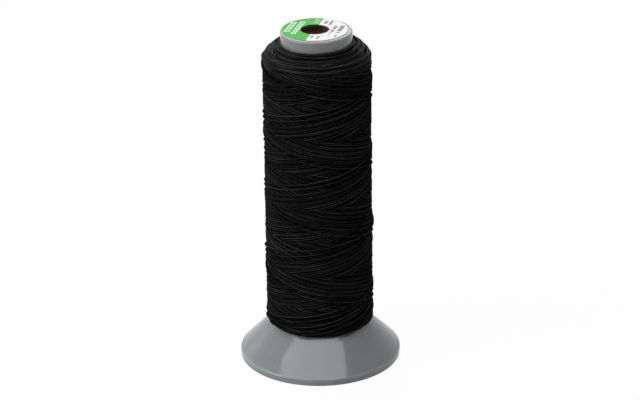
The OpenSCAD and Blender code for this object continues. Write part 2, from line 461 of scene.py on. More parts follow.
@dataclass(frozen=True)
class PrintedPaper:
    """Coated label paper in two fields, printed with rows of open boxes and of dashes.

    A mark fills the part of its cell between the two shares of mark, and left_out is the share
    of the dashes that are missing. The edge is a darker ring along the paper's rim.
    """

    split_deg: float = 73.5
    coloured: Colour = (0.045, 0.430, 0.048)
    plain: Colour = (0.86, 0.86, 0.855)
    light_ink: Colour = (0.80, 0.88, 0.79)
    dark_ink: Colour = (0.10, 0.10, 0.10)
    edge: Colour = (0.30, 0.34, 0.31)
    edge_w: float = 0.14
    rows: dict[Field, tuple[PrintRow, ...]] = field(default_factory=lambda: LABEL_ROWS)
    mark: Pair = (0.08, 0.84)
    seed_step: float = 17.0
    left_out: float = 0.16
    fibre: float = 1.6 * MM
    fibre_shade: float = 0.965
    rough: Pair = (0.38, 0.5)
    rough_patch: float = 2.5 * MM
    grain: float = 0.3 * MM
    grain_depth: float = 0.004 * MM
    specular: float = 0.12

    def row_mask(self, graph: Graph, along: Socket, across: Socket, row: PrintRow) -> Socket:
        """A mask that is 1 on the marks of one row.

        Args:
            graph: The material's graph.
            along: The coordinate along the row, in millimetres.
            across: The coordinate across the row, in millimetres.
            row: The row to print.

        Returns:
            The mask's socket.
        """
        half = row.height / 2
        left, right = self.mark
        band = graph.between(across, row.across - half, row.across + half)
        cell = graph.math("DIVIDE", graph.math("SUBTRACT", along, row.start), row.cell)
        part = graph.math("FRACT", cell)
        mark = graph.math("MULTIPLY", band, graph.between(part, left, right))
        if row.stroke:
            edge = row.stroke / row.cell
            inside = graph.between(across, row.across - half + row.stroke, row.across + half - row.stroke)
            hollow = graph.math("MULTIPLY", inside, graph.between(part, left + edge, right - edge))
            mark = graph.math("SUBTRACT", mark, hollow)
        else:
            number = graph.math("ADD", graph.math("FLOOR", cell), row.seed * self.seed_step)
            chance = graph.add("ShaderNodeTexWhiteNoise", {"noise_dimensions": "1D"}, w=number)
            kept = graph.math("GREATER_THAN", chance.outputs[0], self.left_out)
            mark = graph.math("MULTIPLY", mark, kept)
        return graph.math("MULTIPLY", mark, graph.between(along, row.start, row.end))

    def print_mask(self, graph: Graph, along: Socket, across: Socket, rows: Sequence[PrintRow]) -> Socket:
        """A mask that is 1 on the marks of some rows.

        Args:
            graph: The material's graph.
            along: The coordinate along the rows, in millimetres.
            across: The coordinate across the rows, in millimetres.
            rows: The rows to print.

        Returns:
            The mask's socket.
        """
        total = self.row_mask(graph, along, across, rows[0])
        for row in rows[1:]:
            total = graph.math("MAXIMUM", total, self.row_mask(graph, along, across, row))
        return total

    def material(self, shop: Workshop, name: str, middle: Pair, radius: float) -> bpy.types.Material:
        """Makes the material.

        Args:
            shop: The shared node groups.
            name: The material's name.
            middle: The label's centre in millimetres.
            radius: The label's radius in millimetres; the darker ring lies just inside it.

        Returns:
            The new material.
        """
        made, graph = shop.start(name)
        place = graph.place()
        axes = graph.add("ShaderNodeSeparateXYZ", vector=place)
        x = graph.math("SUBTRACT", graph.math("DIVIDE", axes.outputs[0], MM), middle[0])
        y = graph.math("SUBTRACT", graph.math("DIVIDE", axes.outputs[1], MM), middle[1])
        cos, sin = math.cos(math.radians(self.split_deg)), math.sin(math.radians(self.split_deg))
        along = graph.math("MULTIPLY_ADD", x, cos, graph.math("MULTIPLY", y, sin))
        across = graph.math("MULTIPLY_ADD", x, -sin, graph.math("MULTIPLY", y, cos))
        left = graph.math("GREATER_THAN", across, 0.0)
        printed = graph.blend(left, (*self.plain, 1), (*self.coloured, 1))
        for side, ink in ((Field.COLOURED, self.light_ink), (Field.PLAIN, self.dark_ink)):
            mask = self.print_mask(graph, along, across, self.rows[side])
            printed = graph.blend(mask, printed, (*ink, 1))
        # A darker ring, edge_w wide, along the label's rim.
        rim_ring = graph.math("GREATER_THAN", graph.reach(x, y), radius - self.edge_w)
        fibres = graph.group(shop.mottle, place=place, patch=self.fibre, low=self.fibre_shade, high=1.0)
        toned = graph.add("ShaderNodeMix", {"data_type": "RGBA", "blend_type": "MULTIPLY"})
        graph.feed(toned.inputs[0], 1.0)
        graph.feed(toned.inputs[6], graph.blend(rim_ring, printed, (*self.edge, 1)))
        graph.feed(toned.inputs[7], fibres)
        low, high = self.rough
        shader = graph.add(
            "ShaderNodeBsdfPrincipled",
            base_color=toned.outputs[2],
            roughness=graph.group(shop.mottle, place=place, patch=self.rough_patch, low=low, high=high),
            normal=graph.group(shop.relief, place=place, grain=self.grain, depth=self.grain_depth),
            specular_ior_level=self.specular,
        )
        shop.close(graph, shader)
        return made


@dataclass(frozen=True)
class BondedThread:
    """Black bonded thread of twisted plies, with a painted highlight on its outer crest.

    The crest, where the highlight is painted, lies a share of a turn round the strand from
    straight outward, and painted shade keeps the flanks and ply grooves darker. The painted
    highlight comes and goes along the strand, in streaks of some 220 mm. The film is the
    bonding's waxy coat, which grows from its first to its second value between the two heights
    of film_z. Twist is the length in which a ply goes round the strand once.
    """

    colour: Colour = (0.0028, 0.0028, 0.0029)
    crest_highlight: Colour = (0.0690, 0.0690, 0.0710)
    crest: float = 0.14
    crest_form: float = 12.0
    tone_patch: float = 6.0 * MM
    tone_share: float = 0.6
    streak: float = 220.0
    streak_span: Pair = (0.42, 0.68)
    highlight_strength: Pair = (0.28, 1.0)
    rough: Pair = (0.55, 0.75)
    rough_patch: float = 3.0 * MM
    film: Pair = (0.006, 0.18)
    film_z: Pair = (135.0 * MM, 141.0 * MM)
    film_rough: float = 0.30
    ior: float = 1.02
    plies: int = 3
    twist: float = 3.4
    groove: float = 0.05 * MM
    groove_form: float = 0.5
    groove_strength: float = 0.7
    groove_shade_share: float = 0.6
    map_name: str = "strand"

    def material(self, shop: Workshop, name: str) -> bpy.types.Material:
        """Makes the material, which reads the strand's own map: millimetres along, turns around.

        Args:
            shop: The shared node groups.
            name: The material's name.

        Returns:
            The new material.
        """
        made, graph = shop.start(name)
        place = graph.place()
        mapped = graph.add("ShaderNodeUVMap", {"uv_map": self.map_name})
        axes = graph.add("ShaderNodeSeparateXYZ", vector=mapped.outputs[0])
        along, around = axes.outputs[0], axes.outputs[1]
        twisted = graph.math("DIVIDE", along, self.twist / self.plies)
        phase = graph.math("ADD", graph.math("MULTIPLY", around, float(self.plies)), twisted)
        lobe = graph.math("ABSOLUTE", graph.math("SINE", graph.math("MULTIPLY", phase, math.pi)))
        height = graph.math("POWER", lobe, self.groove_form)
        bump = graph.add("ShaderNodeBump", strength=self.groove_strength, distance=self.groove, height=height)
        tone = graph.group(shop.mottle, place=place, patch=self.tone_patch, low=0.0, high=1.0)
        tone = graph.math("MULTIPLY_ADD", tone, self.tone_share, 1 - self.tone_share)
        # Painted highlight on each strand's crest, in streaks along it, and painted shade in the flanks and
        # ply grooves.
        round_to = graph.math("MULTIPLY", graph.math("ADD", around, self.crest), FULL_TURN)
        facing = graph.math("MULTIPLY_ADD", graph.math("COSINE", round_to), 0.5, 0.5)
        outer = graph.math("POWER", facing, self.crest_form)
        reel = graph.math("DIVIDE", along, self.streak)
        streaks = graph.add("ShaderNodeTexNoise", {"noise_dimensions": "1D"}, w=reel, detail=2.0)
        highlight_strength = graph.ramp(streaks.outputs[0], self.streak_span, self.highlight_strength)
        painted_highlight = graph.math("MULTIPLY", graph.math("MULTIPLY", outer, highlight_strength), tone)
        groove_shade = graph.math("MULTIPLY_ADD", height, self.groove_shade_share, 1 - self.groove_shade_share)
        colour = graph.blend(graph.math("MULTIPLY", painted_highlight, groove_shade), (*self.colour, 1), (*self.crest_highlight, 1))
        level = graph.add("ShaderNodeSeparateXYZ", vector=place).outputs[2]
        low, high = self.rough
        shader = graph.add(
            "ShaderNodeBsdfPrincipled",
            base_color=colour,
            roughness=graph.group(shop.mottle, place=place, patch=self.rough_patch, low=low, high=high),
            normal=bump.outputs[0],
            ior=self.ior,
            coat_weight=graph.ramp(level, self.film_z, self.film),
            coat_roughness=self.film_rough,
            coat_normal=bump.outputs[0],
        )
        shop.close(graph, shader)
        return made


def smooth(values: np.ndarray, spread: float) -> np.ndarray:
    """The values smoothed by a bell curve.

    Args:
        values: A row of numbers.
        spread: The curve's standard deviation, in steps of the row.

    Returns:
        A row of the same length.
    """
    reach = int(4 * spread) + 1
    weights = np.exp(-0.5 * (np.arange(-reach, reach + 1) / spread) ** 2)
    return np.convolve(np.pad(values, reach, mode="reflect"), weights / weights.sum(), "valid")


def mesh_object(
    name: str, points: np.ndarray, faces: np.ndarray, finish: bpy.types.Material
) -> bpy.types.Object:
    """Makes a smooth-shaded mesh object of quadrilaterals.

    Args:
        name: The object's name.
        points: The corners in millimetres, one row each.
        faces: Four corner numbers a row.
        finish: The material.

    Returns:
        The new object.
    """
    mesh = bpy.data.meshes.new(name)
    mesh.vertices.add(len(points))
    mesh.vertices.foreach_set("co", (points * MM).astype(np.float32).ravel())
    mesh.loops.add(faces.size)
    mesh.loops.foreach_set("vertex_index", faces.astype(np.int32).ravel())
    mesh.polygons.add(len(faces))
    mesh.polygons.foreach_set("loop_start", np.arange(0, faces.size, 4, dtype=np.int32))
    mesh.polygons.foreach_set("use_smooth", np.ones(len(faces), bool))
    mesh.update(calc_edges=True)
    mesh.validate()
    mesh.materials.append(finish)
    made = bpy.data.objects.new(name, mesh)
    bpy.context.scene.collection.objects.link(made)
    return made


@dataclass
class PackageOutline:
    """The package's outer outline, from the cone up to the collar.

    A round low edge leads into the nearly straight side, and the side into the shoulder. Points
    are the numbers of points on the three. The cone line is the sum of radius and height on the
    slope of the foot.
    """

    step: float = 0.1
    low_edge_r: float = 2.8
    low_edge_turn: float = 60.0
    low_edge_z: float = 19.2
    low_r: float = 23.17
    waist_r: float = 22.97
    high_r: float = 23.25
    low_z: float = 60.0
    waist_z: float = 100.0
    shoulder_z: float = 137.6
    collar_r: float = 15.45
    shoulder_h: float = 7.2
    shoulder_form: float = 1.38
    points: tuple[int, int, int] = (24, 240, 64)
    normal_ease: float = 8.0
    cone_line: float = 37.8

    def __post_init__(self) -> None:
        """Works out the line of points and the outward direction at each."""
        low_count, side_count, top_count = self.points
        lean = np.linspace(-math.radians(self.low_edge_turn), 0, low_count)
        edge_r = self.low_r - self.low_edge_r * (1 - np.cos(lean))
        edge_z = self.low_edge_z + self.low_edge_r * np.sin(lean)
        side_z = np.linspace(self.low_edge_z, self.shoulder_z, side_count)[1:]
        levels = (self.low_edge_z, self.low_z, self.waist_z, self.shoulder_z)
        side_r = np.interp(side_z, levels, (self.low_r, self.low_r, self.waist_r, self.high_r))
        bend = np.linspace(0, math.pi / 2, top_count)[1:]
        top_r = self.collar_r + (self.high_r - self.collar_r) * np.cos(bend) ** self.shoulder_form
        top_z = self.shoulder_z + self.shoulder_h * np.sin(bend) ** self.shoulder_form
        radii = np.concatenate([edge_r, side_r, top_r])
        heights = np.concatenate([edge_z, side_z, top_z])
        run = np.concatenate([[0.0], np.cumsum(np.hypot(np.diff(radii), np.diff(heights)))])
        self.length = float(run[-1])
        self.u = np.arange(0, self.length, self.step)
        self.r = np.interp(self.u, run, radii)
        self.z = np.interp(self.u, run, heights)
        rise_r = smooth(np.gradient(self.r, self.step), self.normal_ease)
        rise_z = smooth(np.gradient(self.z, self.step), self.normal_ease)
        size = np.hypot(rise_r, rise_z)
        self.out_r = rise_z / size
        self.out_z = -rise_r / size
        self.side_start = float(self.u[np.argmax(self.z >= self.low_edge_z)])
        self.side_end = float(self.u[np.argmax(self.z >= self.shoulder_z)])

    def run_to(self, z: float) -> float:
        """The distance along the outline to a height on its side."""
        return self.side_start + z - self.low_edge_z

    def outward(self, u: np.ndarray) -> tuple[np.ndarray, np.ndarray]:
        """The radial and the upward part of the outward direction at places on the outline."""
        return np.interp(u, self.u, self.out_r), np.interp(u, self.u, self.out_z)

    def place(self, u: np.ndarray, rise: np.ndarray) -> tuple[np.ndarray, np.ndarray]:
        """Radius and height of points that lie above the outline.

        Args:
            u: Distances along the outline.
            rise: How far outside the outline each point lies, or inside where it is negative.

        Returns:
            The radii and the heights.
        """
        out_r, out_z = self.outward(u)
        return np.interp(u, self.u, self.r) + rise * out_r, np.interp(u, self.u, self.z) + rise * out_z


@dataclass
class ThreadCore:
    """The plain inner mass of thread behind the strands.

    It lies its depth below the outline, and less so at the lower end, where the strands are
    fewest: there the depth grows by the share depth_gain a millimetre. Margins keep it clear of
    the outline's ends, the collar and the cone.
    """

    outline: PackageOutline
    depth: float = 0.95
    depth_gain: float = 0.09
    step: float = 1.5
    end_margin: float = 0.6
    collar_margin: float = 0.2
    toe_margin: float = 0.4
    cone_margin: float = 0.1
    segments: int = 96

    def build(self, finish: bpy.types.Material) -> bpy.types.Object:
        """Makes the mass as one closed ring.

        Args:
            finish: The material.

        Returns:
            The new object.
        """
        u = np.arange(self.end_margin, self.outline.length - self.end_margin, self.step)
        r, z = self.outline.place(u, -self.depth * np.clip(self.depth_gain * u, 0, 1))
        inner = self.outline.collar_r
        r = np.maximum(r, inner + self.collar_margin)
        toe = self.outline.r[0] - self.toe_margin
        slope = self.outline.cone_line + self.cone_margin
        profile = [(inner, slope - inner), (toe, slope - toe)]
        profile += list(zip(r, z)) + [(inner, z[-1])]
        turn = FULL_TURN * np.arange(self.segments) / self.segments
        rings = np.array([[(pr * np.cos(t), pr * np.sin(t), pz) for t in turn] for pr, pz in profile])
        index = np.arange(len(profile) * self.segments).reshape(len(profile), self.segments)
        after = np.roll(index, -1, axis=1)
        next_index, next_after = np.roll(index, -1, axis=0), np.roll(after, -1, axis=0)
        faces = np.stack([index, after, next_after, next_index], 2).reshape(-1, 4)
        return mesh_object("thread_core", rings.reshape(-1, 3), faces, finish)


@dataclass(frozen=True)
class Stray:
    """A loose stretch of one of the last passes, as it was pulled aside by handling.

    Both rows hold pairs of a distance from the front, in turns, and a value in millimetres:
    drift up the package, and lift off it.
    """

    drift: Stops
    lift: Stops

    def at(self, turns: np.ndarray, row: Stops, spread: float) -> np.ndarray:
        """The values of one row at each sample.

        Args:
            turns: The distance of each sample from the front, in turns.
            row: The drift or the lift.
            spread: How far the corners are eased, in samples.

        Returns:
            The values in millimetres.
        """
        stops, values = zip(*row)
        return smooth(np.interp(turns, stops, values), spread)


@dataclass
class Traverse:
    """The strand's way up and down the package, as a winder lays it.

    Bearings are in turns, and columns divide a turn. A pass climbs or falls by one pitch a turn,
    and a cycle is a pass up and a pass down. Each cycle lies one shift further on, in pairs, so
    that its strands lie beside those of the last one, and one more pass up lies over them all.
    The last pass up and the last pass down cross the front at up_front_z and down_front_z.

    Low turns are a range of distances from the outline's lower end. Upper turns are measured
    from the end of the side: a start and a range for the early ones, and for the others a start
    and what they leave free at the collar. The last cycles all turn on the crown, and go round it
    once more. Turning back takes the dwell, in turns, or longer, and is eased most on the crown.
    Errors are pairs of a run in turns and a size in millimetres.
    """

    outline: PackageOutline
    columns: int = 120
    cycles: int = 100
    pitch: float = 31.1
    shift: float = 1.0
    pairing: float = 0.15
    last_gap: float = 1.3
    front_bearing: float = 0.75
    up_front_z: float = 59.1
    down_front_z: float = 66.2
    dwell: float = 0.06
    low_turns: Pair = (0.9, 7.0)
    low_step: float = 0.61803
    low_form: float = 1.3
    high_step: float = 0.75488
    high_start: float = 0.3
    early_share: float = 0.6
    early_turns: Pair = (-2.2, 3.4)
    late_turns: Pair = (2.9, 0.8)
    crown_turns: Pair = (0.8, 0.45)
    crown_cycles: int = 14
    crown_ease: float = 0.11
    crown_lead: float = 5.0
    crown_fade: float = 8.0
    side_ease: float = 0.045
    ends: Pair = (0.7, 0.45)
    errors: Stops = ((0.1, 0.04), (0.5, 0.09), (4.0, 0.16))
    stray_ease: Pair = (3.0, 2.0)
    stray_up: Stray = Stray(
        (
            (-0.9, 0.0), (-0.75, -3.2), (-0.6, -0.4), (-0.3, 0.0), (-0.2, 1.0), (-0.09, 0.9), (0.0, 0.2),
            (0.07, -0.5), (0.125, -1.8), (0.2, -4.2), (0.3, -4.4), (0.6, 0.0),
        ),
        (
            (-0.84, 0.0), (-0.75, 0.3), (-0.66, 0.0), (-0.27, 0.0), (-0.21, 0.25), (-0.16, 0.35), (0.0, 0.45),
            (0.12, 0.4), (0.19, 0.35), (0.24, 0.35), (0.3, 0.1), (0.45, 0.0),
        ),
    )
    stray_down: Stray = Stray(
        ((-0.35, 0.0), (-0.2, 2.2), (-0.15, 1.8), (-0.09, 1.5), (-0.04, 0.9), (0.03, 0.0)),
        ((-0.26, 0.0), (-0.16, 0.2), (-0.04, 0.2), (0.04, 0.0)),
    )

    def levels(self, cycle: int) -> Pair:
        """Where the passes of a cycle turn back, as distances along the outline.

        Args:
            cycle: The cycle's number.

        Returns:
            The lower and the upper turning level.
        """
        first, last = self.low_turns
        low = first + (last - first) * ((cycle * self.low_step) % 1) ** self.low_form
        share = (cycle * self.high_step + self.high_start) % 1
        side, length = self.outline.side_end, self.outline.length
        if cycle >= self.cycles - self.crown_cycles:
            start, free = self.crown_turns
            return low, side + start + (length - side - (start + free)) * share
        if share < self.early_share:
            start, run = self.early_turns
            return low, side + start + run * share / self.early_share
        share = (share - self.early_share) / (1 - self.early_share)
        start, free = self.late_turns
        return low, side + start + (length - free - side - start) * share

    def turn_backs(self) -> tuple[list[float], list[float], list[int], Pair]:
        """Every place where the strand turns back, from the first pass to the last.

        Returns:
            The bearing, the distance along the outline and the cycle of each, and the bearings
            at which the last pass up and the last pass down cross the front.
        """
        reach = self.pitch * self.front_bearing
        up_front, down_front = self.outline.run_to(self.up_front_z), self.outline.run_to(self.down_front_z)
        up_last, down_last = up_front - reach, down_front + reach
        bearings, runs, cycles = [], [], []
        bearing = None
        for cycle in range(self.cycles):
            back = self.shift * (self.cycles - 1 - cycle) + self.pairing * (-1) ** cycle
            back += self.last_gap * (cycle < self.cycles - 1)
            low, high = self.levels(cycle)
            start = (low - (up_last - back - self.shift - self.last_gap)) / self.pitch
            if bearing is not None:
                start += math.ceil(bearing + self.dwell - start)
            top = start + (high - low) / self.pitch
            turned = (down_last + back - high) / self.pitch
            turned += math.ceil(top + self.dwell - turned)
            if cycle >= self.cycles - self.crown_cycles:
                turned += 1
            next_low, _ = self.levels(cycle + 1)
            bearing = turned + (high - next_low) / self.pitch
            bearings += [start, top, turned, bearing]
            runs += [low, high, high, next_low]
            cycles += [cycle] * 4
        down_at = turned + (high - down_front) / self.pitch
        low, high = self.levels(self.cycles)
        start = (low - up_last) / self.pitch
        start += math.ceil(bearing + self.dwell - start)
        top = start + (high - low) / self.pitch
        up_at = top - (high - up_front) / self.pitch
        return bearings + [start, top], runs + [low, high], cycles + [self.cycles] * 2, (up_at, down_at)

    def route(self, rng: np.random.Generator) -> tuple[np.ndarray, np.ndarray, np.ndarray, np.ndarray]:
        """The strand's way, sampled at every column that it passes.

        Args:
            rng: The source of its small sideways errors.

        Returns:
            Column numbers, distances along the outline, the cycle of each sample, and how far
            each is lifted off the package.
        """
        bearings, runs, cycles, fronts = self.turn_backs()
        first, last = math.ceil(bearings[0] * self.columns), math.floor(bearings[-1] * self.columns)
        number = np.arange(first, last + 1)
        at = number / self.columns
        u = np.interp(at, bearings, runs)
        crown = np.clip((u - self.outline.side_end + self.crown_lead) / self.crown_fade, 0, 1)
        wide = smooth(u, self.crown_ease * self.columns)
        u = crown * wide + (1 - crown) * smooth(u, self.side_ease * self.columns)
        for run, size in self.errors:
            error = smooth(rng.normal(0, 1, len(number)), run * self.columns)
            u += size * error / error.std()
        lift = np.zeros(len(number))
        for stray, front in zip((self.stray_up, self.stray_down), fronts):
            u += stray.at(at - front, stray.drift, self.stray_ease[0])
            lift += stray.at(at - front, stray.lift, self.stray_ease[1])
        LOG.info("thread: ends %.2f turns past the front", (bearings[-1] - fronts[0]) % 1)
        u = np.clip(u, self.ends[0], self.outline.length - self.ends[1])
        return number, u, np.interp(at, bearings, cycles), lift


@dataclass
class Winding:
    """The strands of the thread, laid one on the other along their traverse.

    Each new turn rests on what lies below it, slips a little to where it lies lowest, and is
    drawn taut, apart from its sag. Give is how far its underside presses in, as a share of its
    radius. The package is a table of heights by column and by step along the outline. Reaches
    are in columns and steps, and eases in samples. The kept cycles are the ones that show, and
    the last ones lie a little higher. Each map row holds about map_row millimetres of strand.
    """

    way: Traverse
    thread_d: float = 0.74
    flatness: float = 0.93
    give: float = 0.25
    sag: float = 0.75
    spare_cells: int = 24
    slip_reach: int = 4
    slip_cost: float = 0.9
    slip_form: float = 1.5
    slip_ease: float = 3.0
    ahead: int = 12
    behind: int = 6
    near_ease: float = 1.6
    line_ease: float = 0.8
    kept_cycles: int = 40
    last_cycles: float = 1.2
    last_rise: float = 0.10
    last_ease: float = 10.0
    crown_press: float = 0.5
    crown_lead: float = 4.0
    crown_fade: float = 6.0
    evening: float = 0.85
    evening_reach: tuple[Pair, Pair] = ((4.0, 16.0), (2.5, 9.0))
    evening_ease: float = 1.5
    dome_reach: int = 3
    cover_reach: int = 4
    rise_limit: float = 0.30
    end_limit: float = 0.12
    end_run: float = 5.0
    limit_softness: float = 0.08
    collar_press: float = 0.1
    cone_gap: float = 0.75
    sides: int = 6
    map_row: float = 146.0
    map_band: Pair = (0.08, 0.84)
    seed: int = 3

    def __post_init__(self) -> None:
        """Takes over the outline and the columns of the traverse."""
        self.outline = self.way.outline
        self.columns = self.way.columns

    def taut(self, support: np.ndarray, arc: float, radius: float) -> np.ndarray:
        """The line that a taut strand takes over what supports it on a round package.

        Args:
            support: The least height of the strand at each sample.
            arc: The distance between samples.
            radius: The package's radius.

        Returns:
            The strand's height at each sample.
        """
        s = np.arange(len(support)) * arc
        bow = s * s / (2 * radius)
        bent = (support - bow).tolist()
        kept: list[int] = []
        for k, level in enumerate(bent):
            while len(kept) > 1:
                a, b = kept[-2], kept[-1]
                if (bent[b] - bent[a]) * (k - a) > (level - bent[a]) * (b - a):
                    break
                kept.pop()
            kept.append(k)
        return np.interp(s, s[kept], np.array(bent)[kept]) + bow

    def lay(self, number: np.ndarray, u: np.ndarray) -> tuple[np.ndarray, np.ndarray]:
        """Lays the strand on the package, turn by turn.

        Args:
            number: The column number of each sample.
            u: The distance of each sample along the outline.

        Returns:
            The strand's height at each sample, and its distance along the outline once it has
            slipped beside its neighbours.
        """
        step, radius = self.outline.step, self.thread_d / 2
        cells = len(self.outline.u) + 2 * self.spare_cells
        package = np.zeros((self.columns, cells), np.float32)
        reach = int(radius / step)
        across = np.arange(-reach, reach + 1)
        round_top = np.sqrt(np.maximum(radius**2 - (across * step) ** 2, 0))
        round_low = (1 - self.give) * round_top
        column = np.mod(number, self.columns)
        arc = FULL_TURN * self.outline.waist_r / self.columns
        slips = np.arange(-self.slip_reach, self.slip_reach + 1)
        height = np.zeros(len(number))
        for a in range(0, len(number), self.columns):
            b = min(len(number), a + self.columns)
            e = min(len(number), b + self.ahead)
            cols = column[a:e, None]
            middle = np.round(u[a:e] / step).astype(int) + self.spare_cells
            spots = middle[:, None] + across
            under = np.stack([(package[cols, spots + k] + round_low).max(1) for k in slips])
            cost = under + self.slip_cost * np.abs(slips[:, None] * step) ** self.slip_form
            slip = slips[np.argmin(cost, 0)] * step
            u[a:b] += smooth(slip, self.slip_ease)[: b - a]
            middle = np.round(u[a:e] / step).astype(int) + self.spare_cells
            support = (package[cols, middle[:, None] + across] + round_low).max(1)
            back = max(0, a - self.behind)
            below = np.concatenate([height[back:a], support])
            line = self.taut(below, arc, self.outline.waist_r)
            near = smooth(below, self.near_ease)
            line = smooth(line - self.sag * np.maximum(line - near, 0), self.line_ease)
            height[a:b] = line[a - back : a - back + b - a]
            here = (column[a:b, None], middle[: b - a, None] + across)
            np.maximum.at(package, here, (height[a:b, None] + round_top).astype(np.float32))
        return height, u

    def surface(self, package: np.ndarray, reach: Pair) -> np.ndarray:
        """The level of the package's outer surface, without its single strands.

        Args:
            package: The height of the package by column and step along the outline.
            reach: How far the level is smoothed, in columns and in steps.

        Returns:
            The level, in the same form.
        """
        cover = package.copy()
        for k in range(-self.cover_reach, self.cover_reach + 1):
            cover = np.maximum(cover, np.roll(package, k, axis=1))
        along = np.stack([smooth(row, reach[1]) for row in cover])
        around = np.stack([smooth(row, reach[0]) for row in np.tile(along.T, 3)])
        local = around[:, self.columns : 2 * self.columns].T
        return self.evening * local + (1 - self.evening) * along.mean(0)

    def even_out(self, number: np.ndarray, u: np.ndarray, height: np.ndarray) -> np.ndarray:
        """Brings the package's surface to the outline, as pressing and settling does.

        Args:
            number: The column number of each sample.
            u: The distance of each sample along the outline.
            height: The strand's height at each sample.

        Returns:
            How far each sample's middle lies above the outline.
        """
        column = np.mod(number, self.columns)
        cells = len(self.outline.u)
        cell = np.clip(np.round(u / self.outline.step).astype(int), 0, cells - 1)
        across = np.arange(-self.dome_reach, self.dome_reach + 1)
        dome = np.sqrt((self.thread_d / 2) ** 2 - (across * self.outline.step) ** 2)
        rise = height
        for reach in self.evening_reach:
            package = np.full((self.columns, cells), rise.min())
            spots = np.clip(cell[:, None] + across, 0, cells - 1)
            np.maximum.at(package, (column[:, None], spots), rise[:, None] + dome)
            level = self.surface(package, reach)
            rise = rise - smooth(level[column, cell], self.evening_ease)
        crown = np.clip((u - self.outline.side_end + self.crown_lead) / self.crown_fade, 0, 1)
        rise = rise * (1 - self.crown_press * crown)
        from_end = np.minimum(u, self.outline.length - u) / self.end_run
        limit = self.end_limit + (self.rise_limit - self.end_limit) * np.clip(from_end, 0, 1)
        return limit - np.logaddexp(0, (limit - rise) / self.limit_softness) * self.limit_softness

    def clear(self, u: np.ndarray, rise: np.ndarray) -> tuple[np.ndarray, np.ndarray]:
        """Radius and height of the strand's middle, held clear of the collar and the cone.

        Args:
            u: The distance of each sample along the outline.
            rise: The height of each sample's middle above the outline.

        Returns:
            The radii and the heights.
        """
        r, z = self.outline.place(u, rise)
        r = np.maximum(r, self.outline.collar_r + self.thread_d / 2 - self.collar_press)
        short = np.maximum(0, self.outline.cone_line + self.cone_gap * self.thread_d - r - z) / 2
        return r + short, z + short

    def tubes(self, number: np.ndarray, u: np.ndarray, rise: np.ndarray) -> tuple[np.ndarray, np.ndarray]:
        """The rings of the strand's tube.

        Args:
            number: The column number of each sample.
            u: The distance of each sample along the outline.
            rise: The height of each sample's middle above the outline.

        Returns:
            The ring points, as samples by sides by three, and the distance along the strand.
        """
        r, z = self.clear(u, rise)
        bearing = FULL_TURN * number / self.columns
        cos, sin = np.cos(bearing), np.sin(bearing)
        middle = np.stack([r * cos, r * sin, z], 1)
        ahead = np.gradient(middle, axis=0)
        ahead /= np.linalg.norm(ahead, axis=1)[:, None]
        out_r, out_z = self.outline.outward(u)
        out = np.stack([out_r * cos, out_r * sin, out_z], 1)
        side = np.cross(ahead, out)
        side /= np.linalg.norm(side, axis=1)[:, None]
        out = np.cross(side, ahead)
        turn = FULL_TURN * np.arange(self.sides) / self.sides
        rings = middle[:, None] + self.thread_d / 2 * (
            self.flatness * np.cos(turn)[None, :, None] * out[:, None]
            + np.sin(turn)[None, :, None] * side[:, None]
        )
        length = np.concatenate([[0.0], np.cumsum(np.linalg.norm(np.diff(middle, axis=0), axis=1))])
        return rings, length

    def strand_faces(self, count: int) -> tuple[np.ndarray, int]:
        """The faces of a closed length of strand.

        Args:
            count: The number of its rings.

        Returns:
            Four corner numbers a row, and how many of the last rows are its end caps.
        """
        sides = self.sides
        ring = np.arange(count - 1)[:, None] * sides
        side = np.arange(sides)[None, :]
        after = (side + 1) % sides
        faces = np.stack([ring + side, ring + after, ring + sides + after, ring + sides + side], 2)
        half = sides // 2
        caps = []
        for start in (0, (count - 1) * sides):
            for k in range(half - 1):
                caps.append([start + k, start + k + 1, start + sides - 2 - k, start + sides - 1 - k])
        caps = np.array(caps)
        caps[: half - 1] = caps[: half - 1, ::-1]
        return np.concatenate([faces.reshape(-1, 4), caps]), len(caps)

    def strand_piece(
        self, name: str, rings: np.ndarray, length: np.ndarray, finish: bpy.types.Material
    ) -> bpy.types.Object:
        """Makes one closed length of strand, with its two maps.

        The first map gives millimetres along the strand and turns around it, and the second
        packs the strand in rows.

        Args:
            name: The piece's name.
            rings: Its ring points.
            length: The distance of each ring along the strand.
            finish: The material.

        Returns:
            The new object.
        """
        count, sides = rings.shape[:2]
        faces, caps = self.strand_faces(count)
        made = mesh_object(name, rings.reshape(-1, 3), faces, finish)
        edge = np.array([0, 0, 1, 1])
        way = length[np.arange(count - 1)[:, None, None] + edge[None, None, :]]
        round_to = (np.arange(sides)[:, None] + np.array([0, 1, 1, 0])[None, :]) / sides
        around = np.broadcast_to(round_to[None], (count - 1, sides, 4))
        along = np.broadcast_to(way, (count - 1, sides, 4))
        own = np.stack([along, around], 3).reshape(-1, 2)
        row = length[-1] / max(1.0, round(length[-1] / self.map_row))
        line = np.floor(along.mean(2, keepdims=True) / row)
        start, width = self.map_band
        up = (line + start + width * around) / (length[-1] / row)
        packed = np.stack([(along - line * row) / row, up], 3)
        packed = np.clip(packed.reshape(-1, 2), 0, 1)
        spare = np.zeros((4 * caps, 2))
        for title, data in (("strand", own), ("OFBake", packed)):
            layer = made.data.uv_layers.new(name=title, do_init=False)
            layer.uv.foreach_set("vector", np.concatenate([data, spare]).astype(np.float32).ravel())
        return made

